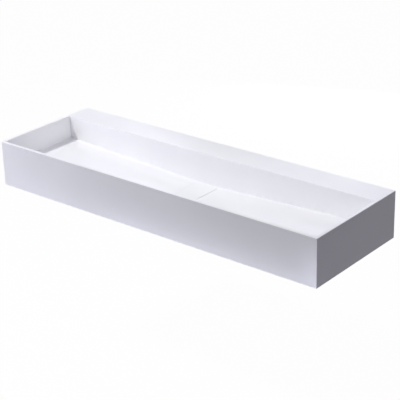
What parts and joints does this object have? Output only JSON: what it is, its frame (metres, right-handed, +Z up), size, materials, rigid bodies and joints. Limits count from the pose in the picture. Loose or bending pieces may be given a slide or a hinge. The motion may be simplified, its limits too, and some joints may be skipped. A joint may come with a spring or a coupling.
{
  "type": "wall-hung trough washbasin",
  "caption": "Long thin-walled trough basin with a rear ledge, floor ramps that fall to a lift-out drain cover, and concealed wall brackets.",
  "frame": {"origin": "on the wall plane, in the middle of the four wall fixing holes of the brackets", "axes": "+X along the basin to the right as seen from the room, +Y into the wall, +Z up"},
  "size_m": [1.4, 0.45, 0.2518],
  "materials": {
    "solid_surface": "satin",
    "silicone": "matte",
    "epdm_rubber": "matte",
    "white_nylon": "matte",
    "chromed_brass": "polished",
    "bare_brass": "satin",
    "polished_stainless": "polished",
    "stainless_bar": "brushed",
    "zinc_plated_steel": "satin",
    "birch_plywood": "sealed"
  },
  "bodies": {
    "basin": {"front_panel": "solid_surface", "left_end_panel": "solid_surface", "right_end_panel": "solid_surface", "rear_deck": "solid_surface", "inner_back_wall": "solid_surface", "rear_rail": "solid_surface", "left_floor_ramp": "solid_surface", "right_floor_ramp": "solid_surface", "left_front_cleat": "solid_surface", "right_front_cleat": "solid_surface", "left_rear_cleat": "solid_surface", "right_rear_cleat": "solid_surface", "left_end_cleat": "solid_surface", "right_end_cleat": "solid_surface", "channel_floor": "solid_surface", "left_channel_cheek": "solid_surface", "right_channel_cheek": "solid_surface", "channel_front_end": "solid_surface", "channel_rear_end": "solid_surface", "left_front_rest_block": "solid_surface", "right_front_rest_block": "solid_surface", "left_rear_rest_block": "solid_surface", "right_rear_rest_block": "solid_surface", "left_support_batten": "birch_plywood", "left_wall_bracket": "stainless_bar", "left_arm_bolts": "zinc_plated_steel", "left_arm_washers": "zinc_plated_steel", "left_batten_inserts": "bare_brass", "right_support_batten": "birch_plywood", "right_wall_bracket": "stainless_bar", "right_arm_bolts": "zinc_plated_steel", "right_arm_washers": "zinc_plated_steel", "right_batten_inserts": "bare_brass", "waste_body": "chromed_brass", "tailpiece": "chromed_brass", "backnut": "bare_brass", "upper_gasket": "epdm_rubber", "lower_gasket": "epdm_rubber", "friction_washer": "white_nylon"},
    "drain_cover": {"drain_cover": "solid_surface", "cover_pads": "silicone"},
    "strainer": {"strainer_disc": "polished_stainless", "strainer_knob": "polished_stainless"}
  },
  "joints": [
    {"name": "cover_lift", "type": "slide", "parent": "basin", "child": "drain_cover", "axis": [0, 0, 1], "range_m": [0, 0.15]},
    {"name": "strainer_lift", "type": "slide", "parent": "basin", "child": "strainer", "axis": [0, 0, 1], "range_m": [0, 0.011]}
  ]
}
